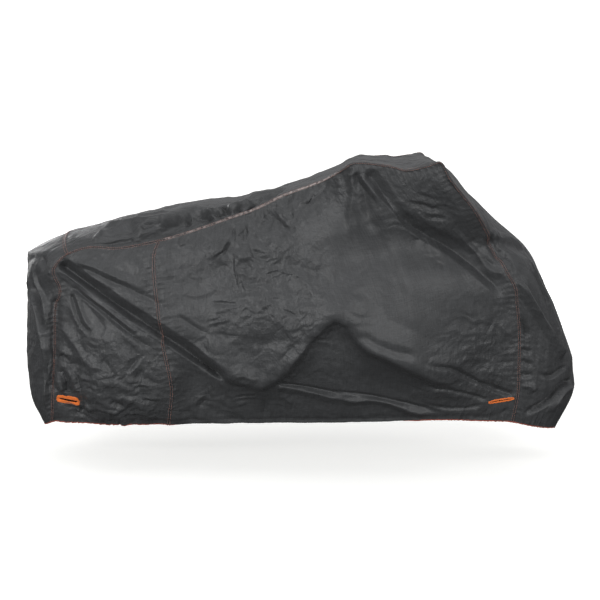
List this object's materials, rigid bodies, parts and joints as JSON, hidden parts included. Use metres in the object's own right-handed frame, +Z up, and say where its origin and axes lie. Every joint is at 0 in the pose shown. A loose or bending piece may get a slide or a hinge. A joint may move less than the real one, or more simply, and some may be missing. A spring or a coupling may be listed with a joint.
{
  "type": "motorcycle cover",
  "caption": "Fitted full-length motorcycle cover of dark coated cloth, draped over a hidden machine, with stitched seams, an elastic hem and taped lock slots low at both ends.",
  "frame": {"origin": "the underside of the centre panel's middle, over the tank, where the machine under the cover holds it up", "axes": "+X from the tail to the nose, +Z up, and the near side of the picture, the machine's right, at -Y"},
  "size_m": [2.2372, 0.8794, 1.1047],
  "materials": {
    "coated_cloth": "thin dark grey coated polyester with a soft sheen",
    "slot_tape": "orange woven tape, folded over the slot's edge"
  },
  "bodies": {
    "root": {"tail_panel": "coated_cloth", "centre_panel": "coated_cloth", "right_rear_side_panel": "coated_cloth", "right_main_side_panel": "coated_cloth", "left_rear_side_panel": "coated_cloth", "left_main_side_panel": "coated_cloth", "right_rear_lock_slot_tape": "slot_tape", "right_front_lock_slot_tape": "slot_tape", "left_rear_lock_slot_tape": "slot_tape", "left_front_lock_slot_tape": "slot_tape"}
  },
  "joints": []
}
